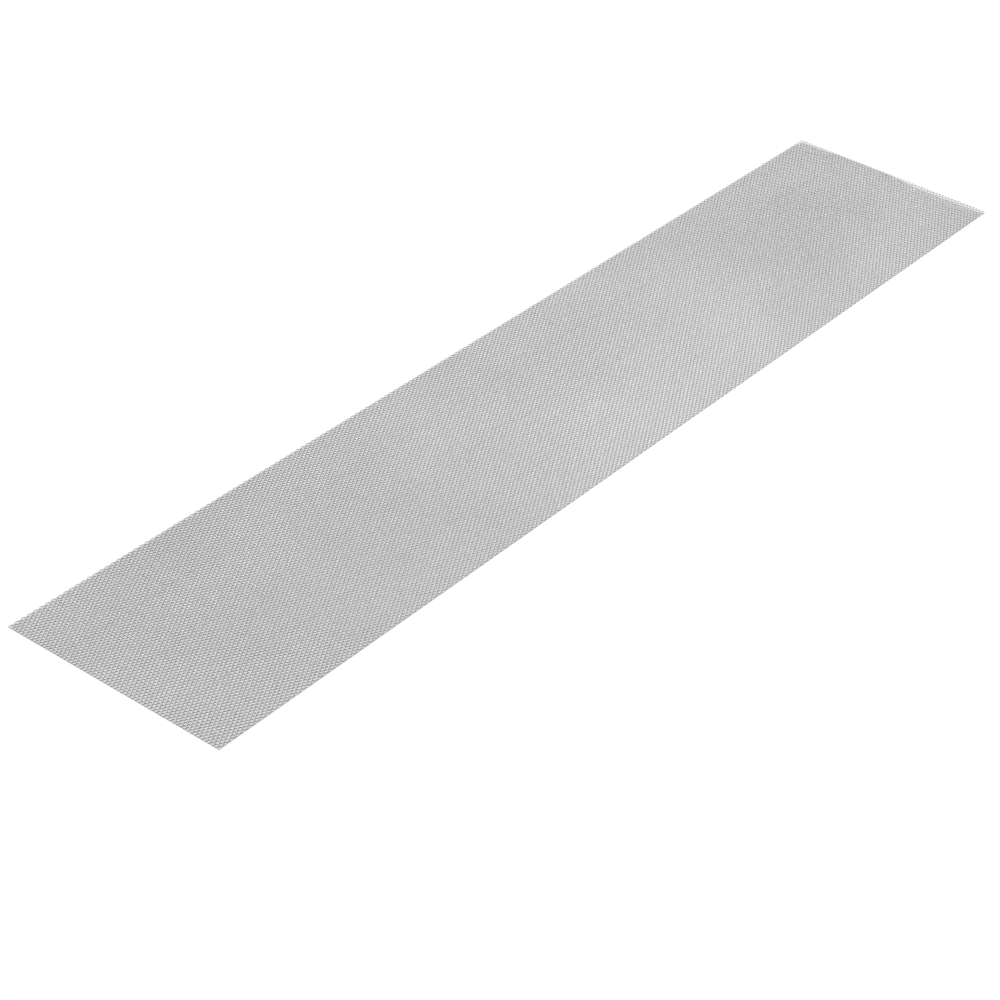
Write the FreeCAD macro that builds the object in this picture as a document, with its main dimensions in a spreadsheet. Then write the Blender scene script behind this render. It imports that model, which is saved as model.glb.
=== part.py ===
"""Gutter guard: a flat rectangular sheet of fine expanded aluminium mesh, lying on its face.

The diamond mesh is two sets of slanting strands. Every strand of one set bears on the strands of the other set
where they cross, and each crossing is a knuckle of the mesh. The sheet is sheared square on all four sides, straight
through the strands: along its long edges the cut runs midway between two rows of knuckles.

Frame: millimetres, X along the sheet, Y across it, Z up. The origin is under the middle of the sheet, on the
surface that it lies on, below a knuckle.
"""

import FreeCAD, Part
import os

import Sketcher
from FreeCAD import Vector

# Name, value and meaning of each driving dimension
DRIVING_SIZES = [
    ("sheet_length", "914.4", "long side of the sheet"),
    ("sheet_width", "177.8", "short side of the sheet"),
    ("diamond_length", "5.30", "from knuckle to knuckle along the sheet"),
    ("diamond_width", "2.891", "from knuckle to knuckle across the sheet"),
    ("strand_width", "0.68", "width of a strand, square to its run"),
    ("strand_depth", "0.38", "depth of a strand, half of the depth of the sheet"),
    ("shortest_run", "2.65", "least run along the sheet of a strand that is kept at a corner"),
]

# Name, formula and meaning of each size that follows from them
DERIVED_SIZES = [
    ("strand_angle", "=atan(diamond_width / diamond_length)", "slant of a strand from the sheet's length"),
    ("strand_run", "=sheet_width / tan(strand_angle)", "run of a whole strand along the sheet"),
    ("corner_run", "=(sheet_length + strand_run) / 2", "from the middle strand to one that just meets a corner"),
    ("side_count", "=floor((corner_run - shortest_run) / diamond_length)", "strands on each side of the middle one"),
    ("strand_count", "=2 * side_count + 1", "strands of one set"),
    ("first_strand", "=-side_count * diamond_length", "place of the first strand along the sheet"),
]


def add_sizes(doc):
    """The sheet of sizes: one row each, with its name, its value or formula, and its meaning."""
    sizes = doc.addObject("Spreadsheet::Sheet", "Sizes")
    for row, (name, value, meaning) in enumerate(DRIVING_SIZES + DERIVED_SIZES, start=1):
        sizes.set(f"A{row}", name)
        sizes.set(f"B{row}", value)
        sizes.set(f"C{row}", meaning)
        sizes.setAlias(f"B{row}", name)
    doc.recompute()
    return sizes


def draw_strand(body, sizes):
    """The plan of the first strand: a parallelogram that slants from one long edge of the sheet to the other."""
    sketch = body.newObject("Sketcher::SketchObject", "StrandPlan")
    plane = next(feature for feature in body.Origin.OriginFeatures if feature.Role == "XY_Plane")
    sketch.AttachmentSupport = [(plane, "")]
    sketch.MapMode = "FlatFace"
    sketch.setExpression("AttachmentOffset.Base.x", "Sizes.first_strand")

    half_run = sizes.strand_run / 2
    half_width = sizes.sheet_width / 2
    corners = [
        Vector(-half_run - sizes.strand_width, -half_width),
        Vector(-half_run + sizes.strand_width, -half_width),
        Vector(half_run + sizes.strand_width, half_width),
        Vector(half_run - sizes.strand_width, half_width),
    ]
    near_end, right_side, far_end, left_side = sketch.addGeometry(
        [Part.LineSegment(start, end) for start, end in zip(corners, corners[1:] + corners[:1])]
    )
    start, end = 1, 2
    origin = (-1, 1)
    for side, next_side in (
        (near_end, right_side),
        (right_side, far_end),
        (far_end, left_side),
        (left_side, near_end),
    ):
        sketch.addConstraint(Sketcher.Constraint("Coincident", side, end, next_side, start))
    sketch.addConstraint(Sketcher.Constraint("Horizontal", near_end))
    sketch.addConstraint(Sketcher.Constraint("Horizontal", far_end))
    sketch.addConstraint(Sketcher.Constraint("Parallel", right_side, left_side))
    sketch.addConstraint(Sketcher.Constraint("Symmetric", near_end, start, far_end, start, *origin))

    across = Sketcher.Constraint("DistanceX", near_end, start, near_end, end, sizes.strand_width)
    reach = Sketcher.Constraint("DistanceY", near_end, end, far_end, start, sizes.sheet_width)
    slant = Sketcher.Constraint("Angle", right_side, sizes.strand_angle.getValueAs("rad"))
    for constraint, formula in (
        (across, "Sizes.strand_width / sin(Sizes.strand_angle)"),
        (reach, "Sizes.sheet_width"),
        (slant, "Sizes.strand_angle"),
    ):
        index = sketch.addConstraint(constraint)
        sketch.setExpression(f"Constraints[{index}]", formula)
    return sketch


def repeat_strand(doc, sizes):
    """The first strand, raised to its depth and repeated every diamond length along the sheet."""
    body = doc.addObject("PartDesign::Body", "LongStrands")
    body.AllowCompound = True
    sketch = draw_strand(body, sizes)
    strand = body.newObject("PartDesign::Pad", "Strand")
    strand.Profile = sketch
    strand.setExpression("Length", "Sizes.strand_depth")
    doc.recompute()

    strands = body.newObject("PartDesign::LinearPattern", "Strands")
    strands.Originals = [strand]
    strands.Direction = (sketch, ["H_Axis"])
    strands.Mode = "Spacing"
    strands.Refine = False
    strands.setExpression("Offset", "Sizes.diamond_length")
    strands.setExpression("Occurrences", "Sizes.strand_count")
    body.Tip = strands
    doc.recompute()
    return body


def add_blank(doc):
    """The outline that the sheet is sheared to, as deep as one set of strands."""
    blank = doc.addObject("Part::Box", "Blank")
    blank.setExpression("Length", "Sizes.sheet_length")
    blank.setExpression("Width", "Sizes.sheet_width")
    blank.setExpression("Height", "Sizes.strand_depth")
    blank.setExpression("Placement.Base.x", "-Sizes.sheet_length / 2")
    blank.setExpression("Placement.Base.y", "-Sizes.sheet_width / 2")
    return blank


def add_rising_strands(doc, long_strands, blank):
    """The lower set of strands, which run away from -Y as they go along +X, sheared to the sheet's outline."""
    rising = doc.addObject("Part::Common", "RisingStrands")
    rising.Label = "rising_strands"
    rising.Base = long_strands
    rising.Tool = blank
    return rising


def add_falling_strands(doc, rising):
    """The upper set of strands: the lower set mirrored across the sheet's long middle line, lying on top of it."""
    falling = doc.addObject("Part::Mirroring", "FallingStrands")
    falling.Label = "falling_strands"
    falling.Source = rising
    falling.Normal = Vector(0, 1, 0)
    falling.setExpression("Placement.Base.z", "Sizes.strand_depth")
    return falling


def check(doc, strand_sets, sizes):
    """Stops if any object failed, or if a set of strands isn't whole: sound solids, as many as the sizes ask for."""
    for item in doc.Objects:
        if "Invalid" in item.State or "Error" in item.State:
            raise RuntimeError(f"{item.Label} failed: {item.getStatusString()}")
    for strands in strand_sets:
        if strands.Shape.isNull() or not strands.Shape.isValid():
            raise RuntimeError(f"{strands.Label} has no sound shape")
        if len(strands.Shape.Solids) != round(sizes.strand_count):
            raise RuntimeError(f"{strands.Label} has {len(strands.Shape.Solids)} strands")


def main():
    doc = FreeCAD.newDocument("gutter_guard")
    sizes = add_sizes(doc)
    long_strands = repeat_strand(doc, sizes)
    rising = add_rising_strands(doc, long_strands, add_blank(doc))
    falling = add_falling_strands(doc, rising)
    doc.recompute()
    check(doc, (rising, falling), sizes)
    os.makedirs("parts", exist_ok=True)
    for strands in (rising, falling):
        strands.Shape.exportStep(f"parts/{strands.Label}.step")


main()
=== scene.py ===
"""Looks of the gutter guard: the raised diamond mesh of its sheet, its bare aluminium and a plain stage."""

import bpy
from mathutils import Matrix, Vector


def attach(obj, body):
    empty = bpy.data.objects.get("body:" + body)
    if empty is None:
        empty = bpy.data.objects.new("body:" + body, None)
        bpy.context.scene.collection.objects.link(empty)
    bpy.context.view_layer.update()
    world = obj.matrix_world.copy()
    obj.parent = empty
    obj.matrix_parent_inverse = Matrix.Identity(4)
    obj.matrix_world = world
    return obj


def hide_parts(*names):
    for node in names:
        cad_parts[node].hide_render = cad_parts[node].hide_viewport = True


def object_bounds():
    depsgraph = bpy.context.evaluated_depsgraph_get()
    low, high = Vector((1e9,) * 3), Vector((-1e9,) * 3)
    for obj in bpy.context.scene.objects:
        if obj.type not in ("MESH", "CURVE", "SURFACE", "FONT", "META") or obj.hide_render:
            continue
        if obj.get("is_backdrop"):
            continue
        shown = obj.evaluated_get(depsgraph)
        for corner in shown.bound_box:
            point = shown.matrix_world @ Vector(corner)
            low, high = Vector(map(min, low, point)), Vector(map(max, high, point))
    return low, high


bl_info = {
    "name": "Gutter Guard",
    "version": (1, 0, 0),
    "blender": (4, 5, 0),
    "location": "View3D > Sidebar > Gutter Guard",
    "description": "Builds the expanded mesh of a gutter guard sheet, its finish and a plain stage",
    "category": "Object",
}

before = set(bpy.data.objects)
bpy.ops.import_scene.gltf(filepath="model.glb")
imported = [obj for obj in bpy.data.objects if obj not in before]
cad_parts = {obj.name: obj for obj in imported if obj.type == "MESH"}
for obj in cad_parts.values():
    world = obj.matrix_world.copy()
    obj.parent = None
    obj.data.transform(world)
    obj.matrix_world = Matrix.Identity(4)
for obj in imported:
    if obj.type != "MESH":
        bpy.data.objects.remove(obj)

import bpy
import numpy as np
from bpy.props import FloatProperty, FloatVectorProperty, IntProperty, PointerProperty
from mathutils import Matrix, Vector

MILLIMETRE = 0.001
SHEET_LOW, SHEET_HIGH = (np.array(corner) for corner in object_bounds())
SHEET_SIZE = SHEET_HIGH - SHEET_LOW
STRAND_NODES = ("rising_strands", "falling_strands")
RANDOM_SEED = 5
SENSOR_WIDTH = 36.0

# Name of the map made for a bake of the finish, and how far it moves a point for each metre of height
BAKE_MAP = "OFBake"
BAKE_MAP_LEAN = 0.3

# Finer layers of the noise in the finish, and the values that it keeps mostly between
NOISE_DETAIL = 1.0
NOISE_LOW, NOISE_HIGH = 0.25, 0.75

# Reach of the floor from its middle, and the steps between its points, fine at the far end of the sheet
FLOOR_REACH = 12.0
FINE_STEP, COARSE_STEP = 2 * MILLIMETRE, 50 * MILLIMETRE
END_STEPS, SIDE_STEPS, BEYOND_STEPS = 20, 60, 7

# Start and end of the floor's fall and of its rise, along the sheet from its far end
END_FALL = (-14 * MILLIMETRE, 0.0)
END_RISE = (50 * MILLIMETRE, 300 * MILLIMETRE)

# The same across the sheet at its front and back corners: falls from its middle, rises from its edge
FRONT_FALL = (-10 * MILLIMETRE, 30 * MILLIMETRE)
FRONT_RISE = (-8 * MILLIMETRE, 4 * MILLIMETRE)
BACK_FALL = (50 * MILLIMETRE, 70 * MILLIMETRE)
BACK_RISE = (0.0, 20 * MILLIMETRE)


class MeshSettings(bpy.types.PropertyGroup):
    """Sizes of the diamond mesh."""

    diamond_length: FloatProperty(
        name="Diamond length",
        description="From knuckle to knuckle along the sheet",
        default=5.30 * MILLIMETRE,
        unit="LENGTH",
        precision=5,
    )
    diamond_width: FloatProperty(
        name="Diamond width",
        description="From knuckle to knuckle across the sheet",
        default=2.885 * MILLIMETRE,
        unit="LENGTH",
        precision=5,
    )
    strand_width: FloatProperty(
        name="Strand width",
        description="Width of the wide face of a strand",
        default=0.72 * MILLIMETRE,
        unit="LENGTH",
        precision=5,
    )
    metal_thickness: FloatProperty(
        name="Metal thickness",
        description="Thickness of the sheet that the mesh was slit from",
        default=0.393 * MILLIMETRE,
        unit="LENGTH",
        precision=5,
    )
    knuckle_length: FloatProperty(
        name="Knuckle length",
        description="Length of the solid metal where two strands meet",
        default=1.48 * MILLIMETRE,
        unit="LENGTH",
        precision=5,
    )
    strand_tilt: FloatProperty(
        name="Strand tilt",
        description="Angle of the strands' wide faces to the sheet, falling towards +Y",
        default=np.radians(14.7),
        subtype="ANGLE",
    )
    unevenness: FloatProperty(
        name="Unevenness",
        description="How far the edges of the strands stray from their places, as a standard deviation",
        default=0.04 * MILLIMETRE,
        unit="LENGTH",
        precision=5,
    )
    band_count: IntProperty(
        name="Bands",
        description="Pieces that the sheet is divided into, along rows of knuckles",
        default=4,
        min=1,
    )


class FinishSettings(bpy.types.PropertyGroup):
    """Colour and gloss of the bare metal."""

    metal_colour: FloatVectorProperty(
        name="Metal colour",
        description="Colour of the bare aluminium",
        subtype="COLOR",
        size=3,
        min=0,
        max=1,
        default=(0.41, 0.41, 0.41),
    )
    roughness: FloatProperty(
        name="Roughness",
        description="Dullness of the mill finish",
        default=0.645,
        subtype="FACTOR",
        min=0,
        max=1,
    )
    cloud_size: FloatProperty(
        name="Cloud size",
        description="Width of the soft clouds in the metal's tone",
        default=120 * MILLIMETRE,
        unit="LENGTH",
        min=MILLIMETRE,
    )
    cloud_swing: FloatProperty(
        name="Cloud swing",
        description="Share by which the clouds lighten and darken the metal",
        default=0.06,
        subtype="FACTOR",
        min=0,
        max=1,
    )
    grain_size: FloatProperty(
        name="Grain size",
        description="Width of the grain that sets one strand off from the next",
        default=1.5 * MILLIMETRE,
        unit="LENGTH",
        precision=5,
        min=0.1 * MILLIMETRE,
    )
    grain_swing: FloatProperty(
        name="Grain swing",
        description="Share by which the grain lightens and darkens the metal",
        default=0.10,
        subtype="FACTOR",
        min=0,
        max=1,
    )
    roughness_swing: FloatProperty(
        name="Roughness swing",
        description="How far the grain raises and lowers the roughness",
        default=0.08,
        subtype="FACTOR",
        min=0,
        max=1,
    )


class StageSettings(bpy.types.PropertyGroup):
    """Camera, lamps and floor."""

    camera_azimuth: FloatProperty(
        name="Azimuth",
        description="Direction of the camera from the sheet, turned from -Y towards +X",
        default=np.radians(-54.411),
        subtype="ANGLE",
    )
    camera_elevation: FloatProperty(
        name="Elevation",
        description="Height of the camera above the floor, as an angle",
        default=np.radians(34.547),
        subtype="ANGLE",
    )
    camera_roll: FloatProperty(
        name="Roll",
        description="Turn of the camera about its line of sight",
        default=np.radians(4.154),
        subtype="ANGLE",
    )
    camera_distance: FloatProperty(
        name="Distance",
        description="From the camera to the point that it looks at",
        default=1.9083,
        unit="LENGTH",
    )
    camera_target: FloatVectorProperty(
        name="Target",
        description="Point on the floor in the middle of the picture",
        default=(-0.13672, -0.05141, 0.0),
        subtype="TRANSLATION",
        unit="LENGTH",
    )
    camera_lens: FloatProperty(
        name="Lens",
        description="Focal length in millimetres on a 36 mm sensor",
        default=101.488,
    )
    floor_colour: FloatVectorProperty(
        name="Floor colour",
        description="Colour of the floor",
        subtype="COLOR",
        size=3,
        min=0,
        max=1,
        default=(0.96, 0.96, 0.96),
    )
    floor_top_up: FloatProperty(
        name="Floor top-up",
        description="Light of the floor's own in the picture, which brings it to white outside the shadow",
        default=0.10,
        min=0,
    )
    front_corner_gap: FloatProperty(
        name="Front corner gap",
        description="Height of the sheet's far front corner above the floor, which falls away there",
        default=2.3 * MILLIMETRE,
        unit="LENGTH",
        precision=5,
    )
    back_corner_gap: FloatProperty(
        name="Back corner gap",
        description="Height of the sheet's far back corner above the floor, which falls away there",
        default=1.4 * MILLIMETRE,
        unit="LENGTH",
        precision=5,
    )
    sky_strength: FloatProperty(
        name="Sky strength",
        description="Even light from all round",
        default=0.505,
        min=0,
    )
    softbox_strength: FloatProperty(
        name="Softbox strength",
        description="Light of the large lamp that falls on a face turned to it, in watts per square metre",
        default=1.884,
        min=0,
    )
    softbox_azimuth: FloatProperty(
        name="Softbox azimuth",
        description="Direction of the lamp from the sheet, turned from -Y towards +X",
        default=np.radians(153.0),
        subtype="ANGLE",
    )
    softbox_elevation: FloatProperty(
        name="Softbox elevation",
        description="Height of the lamp above the floor, as an angle",
        default=np.radians(47.9),
        subtype="ANGLE",
    )
    softbox_spread: FloatProperty(
        name="Softbox spread",
        description="Width of the lamp, as an angle seen from the sheet",
        default=np.radians(22.9),
        subtype="ANGLE",
    )
    spot_power: FloatProperty(
        name="Spot power",
        description="Power of the lamp that lifts the middle of the sheet, in watts",
        default=12.0,
        min=0,
    )
    spot_place: FloatVectorProperty(
        name="Spot place",
        description="Place of that lamp",
        default=(-0.326, 0.313, 0.6),
        subtype="TRANSLATION",
        unit="LENGTH",
    )
    spot_target: FloatVectorProperty(
        name="Spot target",
        description="Point on the floor that it is turned to",
        default=(0.71, -0.80, 0.0),
        subtype="TRANSLATION",
        unit="LENGTH",
    )
    spot_width: FloatProperty(
        name="Spot width",
        description="Angle of its cone",
        default=np.radians(81.5),
        subtype="ANGLE",
    )
    spot_softness: FloatProperty(
        name="Spot softness",
        description="Share of the cone over which its light fades",
        default=0.62,
        subtype="FACTOR",
        min=0,
        max=1,
    )
    spot_radius: FloatProperty(
        name="Spot radius",
        description="Radius of its bulb, which softens its shadows",
        default=0.15,
        unit="LENGTH",
        min=0,
    )


def trapezoid_wave(turns, flat_share):
    """A wave of period 1 that is 0 about whole turns and 1 about half turns, and straight between.

    It is flat for flat_share of the period at each.
    """
    from_whole = np.abs(turns - np.round(turns))
    return np.clip((from_whole - flat_share / 2) / (0.5 - flat_share), 0.0, 1.0)


def knuckle_columns(settings):
    """Places along the sheet where the strands bend, at the ends of the knuckles, and its two ends."""
    half_length = SHEET_SIZE[0] / 2
    half_pitch = settings.diamond_length / 2
    half_knuckle = settings.knuckle_length / 2
    reach = int(half_length / half_pitch) + 1
    knuckles = np.arange(-reach, reach + 1) * half_pitch
    ends = np.concatenate([knuckles - half_knuckle, knuckles + half_knuckle])
    return np.unique(np.concatenate([ends[np.abs(ends) < half_length], [-half_length, half_length]]))


def mesh_band(settings, columns, strays, first_row, row_pitch):
    """Points and quads of some rows of strands, from first_row on, as one closed surface.

    Row n is a ribbon that winds along the sheet between knuckle lines n and n + 1, which lie row_pitch
    apart. A trapezoid wave carries it from a knuckle on its lower line to one on its upper line, half a
    diamond further on. The ribbon's section leans by the tilt. At a lower knuckle its lower edge lies on
    the line, and at an upper knuckle its upper edge does, so two ribbons meet there edge to edge, and their
    points are one. The underside is the upper side moved by the metal's thickness, square to the ribbon.
    The strays, one for each point of the upper side, move it and the point below it up or down, as far as
    the sheet's depth allows. The outermost rows are cut along the sheet's edges.
    """
    pitch = settings.diamond_length
    flat_share = settings.knuckle_length / pitch
    reach = settings.strand_width * np.cos(settings.strand_tilt)
    drop = settings.strand_width * np.sin(settings.strand_tilt)
    under = -settings.metal_thickness * np.array(
        [0.0, np.sin(settings.strand_tilt), np.cos(settings.strand_tilt)]
    )
    line_height = SHEET_LOW[2] + drop - under[2]

    lines = first_row + np.arange(len(strays))
    rows = lines[:-1]
    climb = trapezoid_wave(columns[None, :] / pitch + rows[:, None] / 2, flat_share)
    lower_y = rows[:, None] * row_pitch + climb * (row_pitch - reach)
    lower_z = line_height + climb * drop
    before_cut = np.clip((SHEET_LOW[1] - lower_y) / reach, 0.0, 1.0)[..., None]
    up_to_cut = np.clip((SHEET_HIGH[1] - lower_y) / reach, 0.0, 1.0)[..., None]
    # Points by knuckle line, column, row before or past the line, upper or under side, and axis
    grid = np.zeros((len(lines), len(columns), 2, 2, 3))
    grid[..., 0] = columns[None, :, None, None]
    grid[:-1, :, 1, :, 1] = lower_y[..., None] + before_cut * reach
    grid[:-1, :, 1, :, 2] = lower_z[..., None] - before_cut * drop
    grid[1:, :, 0, :, 1] = lower_y[..., None] + up_to_cut * reach
    grid[1:, :, 0, :, 2] = lower_z[..., None] - up_to_cut * drop
    grid[:, :, :, 1] += under
    grid[..., 1] = np.clip(grid[..., 1], SHEET_LOW[1], SHEET_HIGH[1])
    turns = columns[None, :] / pitch + lines[:, None] / 2
    tolerance = 1e-6
    joined = np.abs(turns - np.round(turns)) <= flat_share / 2 + tolerance
    strays = np.where(joined[..., None], strays[..., :1], strays)
    heights = grid[..., 2]
    heights += np.clip(strays, SHEET_LOW[2] - heights[..., 1], SHEET_HIGH[2] - heights[..., 0])[..., None]

    index = np.arange(grid[..., 0].size).reshape(grid.shape[:-1])
    joined[[0, -1]] = False
    index[:, :, 1] = np.where(joined[..., None], index[:, :, 0], index[:, :, 1])
    solid = joined[:, :-1] & joined[:, 1:]

    near, far = index[:-1, :, 1], index[1:, :, 0]
    top = np.stack([near[:, :-1, 0], near[:, 1:, 0], far[:, 1:, 0], far[:, :-1, 0]], -1)
    bottom = np.stack([near[:, :-1, 1], far[:, :-1, 1], far[:, 1:, 1], near[:, 1:, 1]], -1)
    far_open = ~solid[1:]
    near_open = ~solid[:-1]
    far_wall = np.stack([far[:, :-1, 0], far[:, 1:, 0], far[:, 1:, 1], far[:, :-1, 1]], -1)[far_open]
    near_wall = np.stack([near[:, :-1, 0], near[:, :-1, 1], near[:, 1:, 1], near[:, 1:, 0]], -1)[near_open]
    first_end = np.stack([near[:, 0, 0], far[:, 0, 0], far[:, 0, 1], near[:, 0, 1]], -1)
    last_end = np.stack([near[:, -1, 0], near[:, -1, 1], far[:, -1, 1], far[:, -1, 0]], -1)
    faces = [top.reshape(-1, 4), bottom.reshape(-1, 4), far_wall, near_wall, first_end, last_end]
    used, quads = np.unique(np.concatenate(faces), return_inverse=True)
    return grid.reshape(-1, 3)[used], quads.reshape(-1, 4)


def add_mesh(name, points, quads):
    """A mesh object from whole arrays of points and four-cornered faces, placed in its mesh."""
    mesh = bpy.data.meshes.new(name)
    mesh.vertices.add(len(points))
    mesh.vertices.foreach_set("co", points.astype(np.float32).ravel())
    mesh.loops.add(quads.size)
    mesh.loops.foreach_set("vertex_index", quads.astype(np.int32).ravel())
    mesh.polygons.add(len(quads))
    mesh.polygons.foreach_set("loop_start", np.arange(0, quads.size, quads.shape[1], dtype=np.int32))
    mesh.update(calc_edges=True)
    if mesh.validate():
        raise RuntimeError(f"{name} had unsound faces")
    piece = bpy.data.objects.new(name, mesh)
    bpy.context.scene.collection.objects.link(piece)
    return piece


def add_bake_map(piece):
    """A map of the piece as seen from above, for the bake of its finish, stretched to fill the square.

    It leans a little with height, so that upright faces have some width in it.
    """
    mesh = piece.data
    points = np.empty(len(mesh.vertices) * 3, np.float32)
    mesh.vertices.foreach_get("co", points)
    points = points.reshape(-1, 3)
    plan = points[:, :2] + BAKE_MAP_LEAN * points[:, 2:]
    plan = (plan - plan.min(axis=0)) / np.ptp(plan, axis=0)
    corners = np.empty(len(mesh.loops), np.int32)
    mesh.loops.foreach_get("vertex_index", corners)
    mesh.uv_layers.new(name=BAKE_MAP).uv.foreach_set("vector", plan[corners].ravel())


def noise_between(tree, place, width, low, high):
    """Socket that wanders between about low and high over the sheet's plan, in patches of a width."""
    noise = tree.nodes.new("ShaderNodeTexNoise")
    noise.inputs["Scale"].default_value = 1.0 / width
    noise.inputs["Detail"].default_value = NOISE_DETAIL
    spread = tree.nodes.new("ShaderNodeMapRange")
    spread.inputs["From Min"].default_value = NOISE_LOW
    spread.inputs["From Max"].default_value = NOISE_HIGH
    spread.inputs["To Min"].default_value = low
    spread.inputs["To Max"].default_value = high
    tree.links.new(place, noise.inputs["Vector"])
    tree.links.new(noise.outputs["Fac"], spread.inputs["Value"])
    return spread.outputs[0]


def aluminium(finish):
    """Dull mill-finish aluminium: soft clouds and a fine grain in its tone, and the grain in its gloss."""
    material = bpy.data.materials.new("bare_aluminium")
    material.use_nodes = True
    tree = material.node_tree
    shader = tree.nodes["Principled BSDF"]
    shader.inputs["Metallic"].default_value = 1.0

    coordinates = tree.nodes.new("ShaderNodeTexCoord")
    plan = tree.nodes.new("ShaderNodeMapping")
    plan.inputs["Scale"].default_value = (1.0, 1.0, 0.0)
    tree.links.new(coordinates.outputs["Object"], plan.inputs["Vector"])
    place = plan.outputs["Vector"]

    clouds = noise_between(tree, place, finish.cloud_size, 1 - finish.cloud_swing, 1 + finish.cloud_swing)
    grain = noise_between(tree, place, finish.grain_size, 1 - finish.grain_swing, 1 + finish.grain_swing)
    tone = tree.nodes.new("ShaderNodeMath")
    tone.operation = "MULTIPLY"
    toned_metal = tree.nodes.new("ShaderNodeVectorMath")
    toned_metal.operation = "SCALE"
    toned_metal.inputs[0].default_value = finish.metal_colour
    tree.links.new(clouds, tone.inputs[0])
    tree.links.new(grain, tone.inputs[1])
    tree.links.new(tone.outputs[0], toned_metal.inputs["Scale"])
    tree.links.new(toned_metal.outputs[0], shader.inputs["Base Color"])

    dullest = finish.roughness + finish.roughness_swing
    brightest = finish.roughness - finish.roughness_swing
    tree.links.new(
        noise_between(tree, place, finish.grain_size, dullest, brightest), shader.inputs["Roughness"]
    )
    return material


class GUARD_OT_mesh_sheet(bpy.types.Operator):
    """Build the sheet's raised diamond mesh in bands that meet along rows of knuckles"""

    bl_idname = "gutter_guard.mesh_sheet"
    bl_label = "Mesh Sheet"

    def execute(self, context):
        settings = context.scene.guard_mesh
        row_pitch = settings.diamond_width / 2
        half_rows = int(SHEET_SIZE[1] / 2 / row_pitch) + 1
        columns = knuckle_columns(settings)
        sides = 2
        random = np.random.default_rng(RANDOM_SEED)
        strays = random.normal(0.0, settings.unevenness, (2 * half_rows + 1, len(columns), sides))
        cuts = np.linspace(0, 2 * half_rows, settings.band_count + 1).round().astype(int)
        material = aluminium(context.scene.guard_finish)
        for number, (first, last) in enumerate(zip(cuts[:-1], cuts[1:]), start=1):
            band = mesh_band(settings, columns, strays[first : last + 1], first - half_rows, row_pitch)
            piece = add_mesh(f"mesh_band_{number}", *band)
            piece.data.materials.append(material)
            add_bake_map(piece)
            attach(piece, "root")
            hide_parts(*STRAND_NODES)
        return {"FINISHED"}


def seen_directly(tree):
    """Socket: 1 for what is seen itself or in metal or glass, and 0 for what only lights the scene."""
    path = tree.nodes.new("ShaderNodeLightPath")
    itself_or_metal = tree.nodes.new("ShaderNodeMath")
    itself_or_metal.operation = "MAXIMUM"
    or_glass = tree.nodes.new("ShaderNodeMath")
    or_glass.operation = "MAXIMUM"
    tree.links.new(path.outputs["Is Camera Ray"], itself_or_metal.inputs[0])
    tree.links.new(path.outputs["Is Glossy Ray"], itself_or_metal.inputs[1])
    tree.links.new(itself_or_metal.outputs[0], or_glass.inputs[0])
    tree.links.new(path.outputs["Is Transmission Ray"], or_glass.inputs[1])
    return or_glass.outputs[0]


def white_floor(stage):
    """Floor that takes the sheet's shadow, with a little light of its own for what looks straight at it."""
    material = bpy.data.materials.new("studio_floor")
    material.use_nodes = True
    tree = material.node_tree
    tree.nodes.clear()
    output = tree.nodes.new("ShaderNodeOutputMaterial")
    total = tree.nodes.new("ShaderNodeAddShader")
    diffuse = tree.nodes.new("ShaderNodeBsdfDiffuse")
    diffuse.inputs["Color"].default_value = (*stage.floor_colour, 1.0)
    glow = tree.nodes.new("ShaderNodeEmission")
    strength = tree.nodes.new("ShaderNodeMath")
    strength.operation = "MULTIPLY"
    strength.inputs[1].default_value = stage.floor_top_up
    tree.links.new(seen_directly(tree), strength.inputs[0])
    tree.links.new(strength.outputs[0], glow.inputs["Strength"])
    tree.links.new(diffuse.outputs[0], total.inputs[0])
    tree.links.new(glow.outputs[0], total.inputs[1])
    tree.links.new(total.outputs[0], output.inputs["Surface"])
    return material


def studio_sky(stage):
    """World that lights evenly from all round and is white where the picture looks past the floor."""
    world = bpy.data.worlds.new("studio_sky")
    world.use_nodes = True
    tree = world.node_tree
    background = tree.nodes["Background"]
    background.inputs["Color"].default_value = (1.0, 1.0, 1.0, 1.0)
    strength = tree.nodes.new("ShaderNodeMapRange")
    strength.inputs["To Min"].default_value = stage.sky_strength
    strength.inputs["To Max"].default_value = 1.0
    tree.links.new(seen_directly(tree), strength.inputs["Value"])
    tree.links.new(strength.outputs[0], background.inputs["Strength"])
    return world


def smooth_step(values, start, end):
    """0 before start and 1 past end, with 3t^2 - 2t^3 between."""
    share = np.clip((values - start) / (end - start), 0.0, 1.0)
    return share * share * (3.0 - 2.0 * share)


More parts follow.
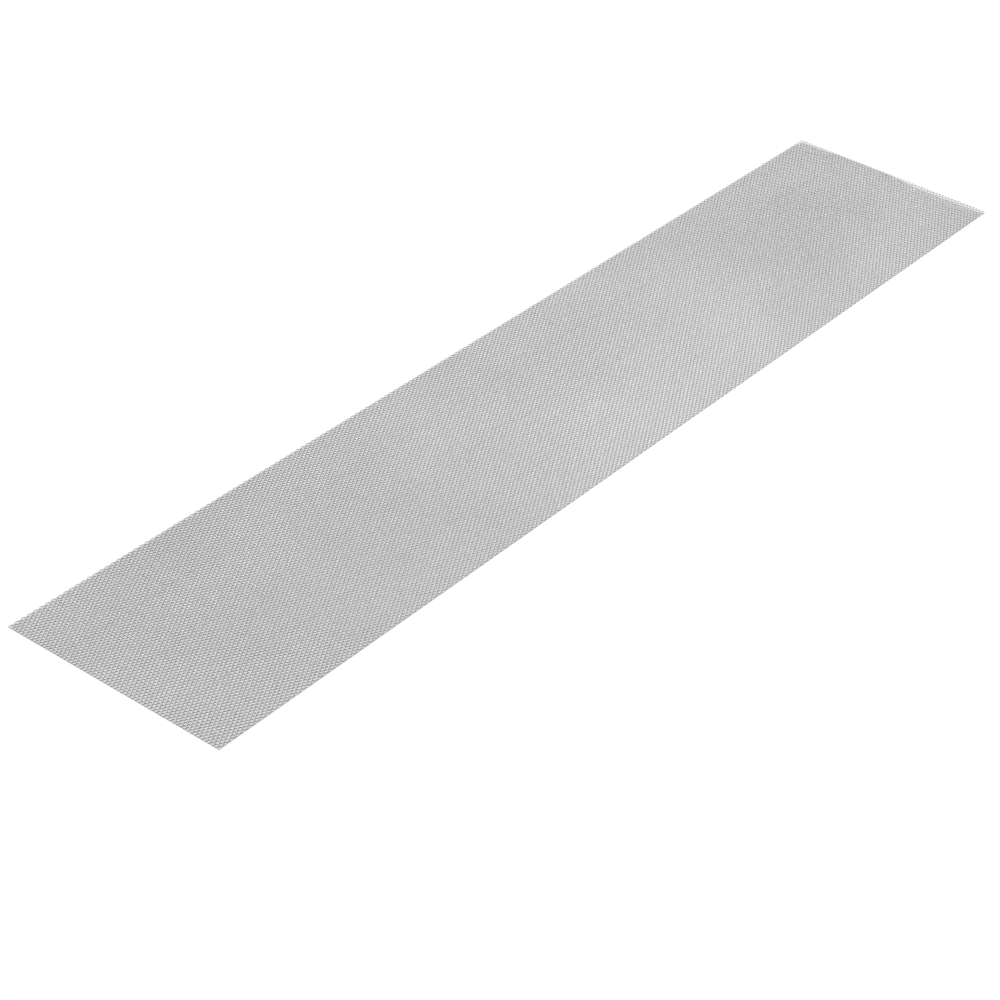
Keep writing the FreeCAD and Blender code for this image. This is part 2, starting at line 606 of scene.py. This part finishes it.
def floor_surface(stage):
    """Points and quads of the floor: level, but lower at the far end of the sheet.

    The corners of that end stood off the table in the photograph. The fall is one smooth step along the
    sheet times one across it for each corner, and the floor rises again beyond the sheet.
    """
    half_length, half_width = SHEET_SIZE[:2] / 2
    at_end = half_length + np.arange(-END_STEPS, END_STEPS) * FINE_STEP
    beyond_end = half_length + np.arange(1, BEYOND_STEPS + 1) * COARSE_STEP
    over_width = np.arange(-SIDE_STEPS, SIDE_STEPS + 1) * FINE_STEP
    along = np.concatenate([[-FLOOR_REACH], at_end, beyond_end, [FLOOR_REACH]])
    across = np.concatenate([[-FLOOR_REACH], over_width, [FLOOR_REACH]])
    x, y = np.meshgrid(along, across)
    fall = smooth_step(x - half_length, *END_FALL) - smooth_step(x - half_length, *END_RISE)
    front = smooth_step(-y, *FRONT_FALL) * (1 - smooth_step(-y - half_width, *FRONT_RISE))
    back = smooth_step(y, *BACK_FALL) * (1 - smooth_step(y - half_width, *BACK_RISE))
    z = SHEET_LOW[2] - fall * (front * stage.front_corner_gap + back * stage.back_corner_gap)
    points = np.stack([x, y, z], -1).reshape(-1, 3)
    index = np.arange(x.size).reshape(x.shape)
    quads = np.stack([index[:-1, :-1], index[:-1, 1:], index[1:, 1:], index[1:, :-1]], -1)
    return points, quads.reshape(-1, 4)


def direction(azimuth, elevation):
    """Unit vector that points at an elevation above the floor, turned by an azimuth from -Y towards +X."""
    level = np.cos(elevation)
    return Vector((level * np.sin(azimuth), -level * np.cos(azimuth), np.sin(elevation)))


class GUARD_OT_stage(bpy.types.Operator):
    """Set the camera, the lamps and the white floor"""

    bl_idname = "gutter_guard.stage"
    bl_label = "Stage"

    def execute(self, context):
        stage = context.scene.guard_stage
        scene = context.scene
        scene.view_settings.view_transform = "Standard"
        scene.world = studio_sky(stage)

        floor = add_mesh("studio_floor", *floor_surface(stage))
        floor.data.materials.append(white_floor(stage))
        floor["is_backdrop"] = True

        lamp = bpy.data.lights.new("softbox", "SUN")
        lamp.energy = stage.softbox_strength
        lamp.angle = stage.softbox_spread
        softbox = bpy.data.objects.new("softbox", lamp)
        towards = direction(stage.softbox_azimuth, stage.softbox_elevation)
        softbox.location = towards
        softbox.rotation_euler = towards.to_track_quat("Z", "Y").to_euler()
        scene.collection.objects.link(softbox)

        lamp = bpy.data.lights.new("spot", "SPOT")
        lamp.energy = stage.spot_power
        lamp.spot_size = stage.spot_width
        lamp.spot_blend = stage.spot_softness
        lamp.shadow_soft_size = stage.spot_radius
        spot = bpy.data.objects.new("spot", lamp)
        spot.location = stage.spot_place
        towards = Vector(stage.spot_place) - Vector(stage.spot_target)
        spot.rotation_euler = towards.to_track_quat("Z", "Y").to_euler()
        scene.collection.objects.link(spot)

        back = direction(stage.camera_azimuth, stage.camera_elevation)
        view = bpy.data.cameras.new("photo_view")
        view.lens = stage.camera_lens
        view.sensor_width = SENSOR_WIDTH
        camera = bpy.data.objects.new("photo_view", view)
        level = (-back).to_track_quat("-Z", "Y").to_matrix().to_4x4()
        roll = Matrix.Rotation(stage.camera_roll, 4, "Z")
        place = Matrix.Translation(Vector(stage.camera_target) + back * stage.camera_distance)
        camera.matrix_world = place @ level @ roll
        scene.collection.objects.link(camera)
        scene.camera = camera
        return {"FINISHED"}


class GUARD_PT_panel(bpy.types.Panel):
    """Sidebar panel with the guard's operators and settings"""

    bl_idname = "GUARD_PT_panel"
    bl_label = "Gutter Guard"
    bl_space_type = "VIEW_3D"
    bl_region_type = "UI"
    bl_category = "Gutter Guard"

    def draw(self, context):
        layout = self.layout
        for operator in OPERATORS:
            layout.operator(operator.bl_idname)
        for name in SETTINGS:
            group = getattr(context.scene, name)
            for key in group.__annotations__:
                layout.prop(group, key)


OPERATORS = (GUARD_OT_mesh_sheet, GUARD_OT_stage)
SETTINGS = {"guard_mesh": MeshSettings, "guard_finish": FinishSettings, "guard_stage": StageSettings}
CLASSES = (*SETTINGS.values(), *OPERATORS, GUARD_PT_panel)


def register():
    for cls in CLASSES:
        bpy.utils.register_class(cls)
    for name, group in SETTINGS.items():
        setattr(bpy.types.Scene, name, PointerProperty(type=group))


def unregister():
    for name in SETTINGS:
        delattr(bpy.types.Scene, name)
    for cls in reversed(CLASSES):
        bpy.utils.unregister_class(cls)


def main():
    register()
    bpy.ops.gutter_guard.mesh_sheet()
    bpy.ops.gutter_guard.stage()


if __name__ == "__main__":
    main()
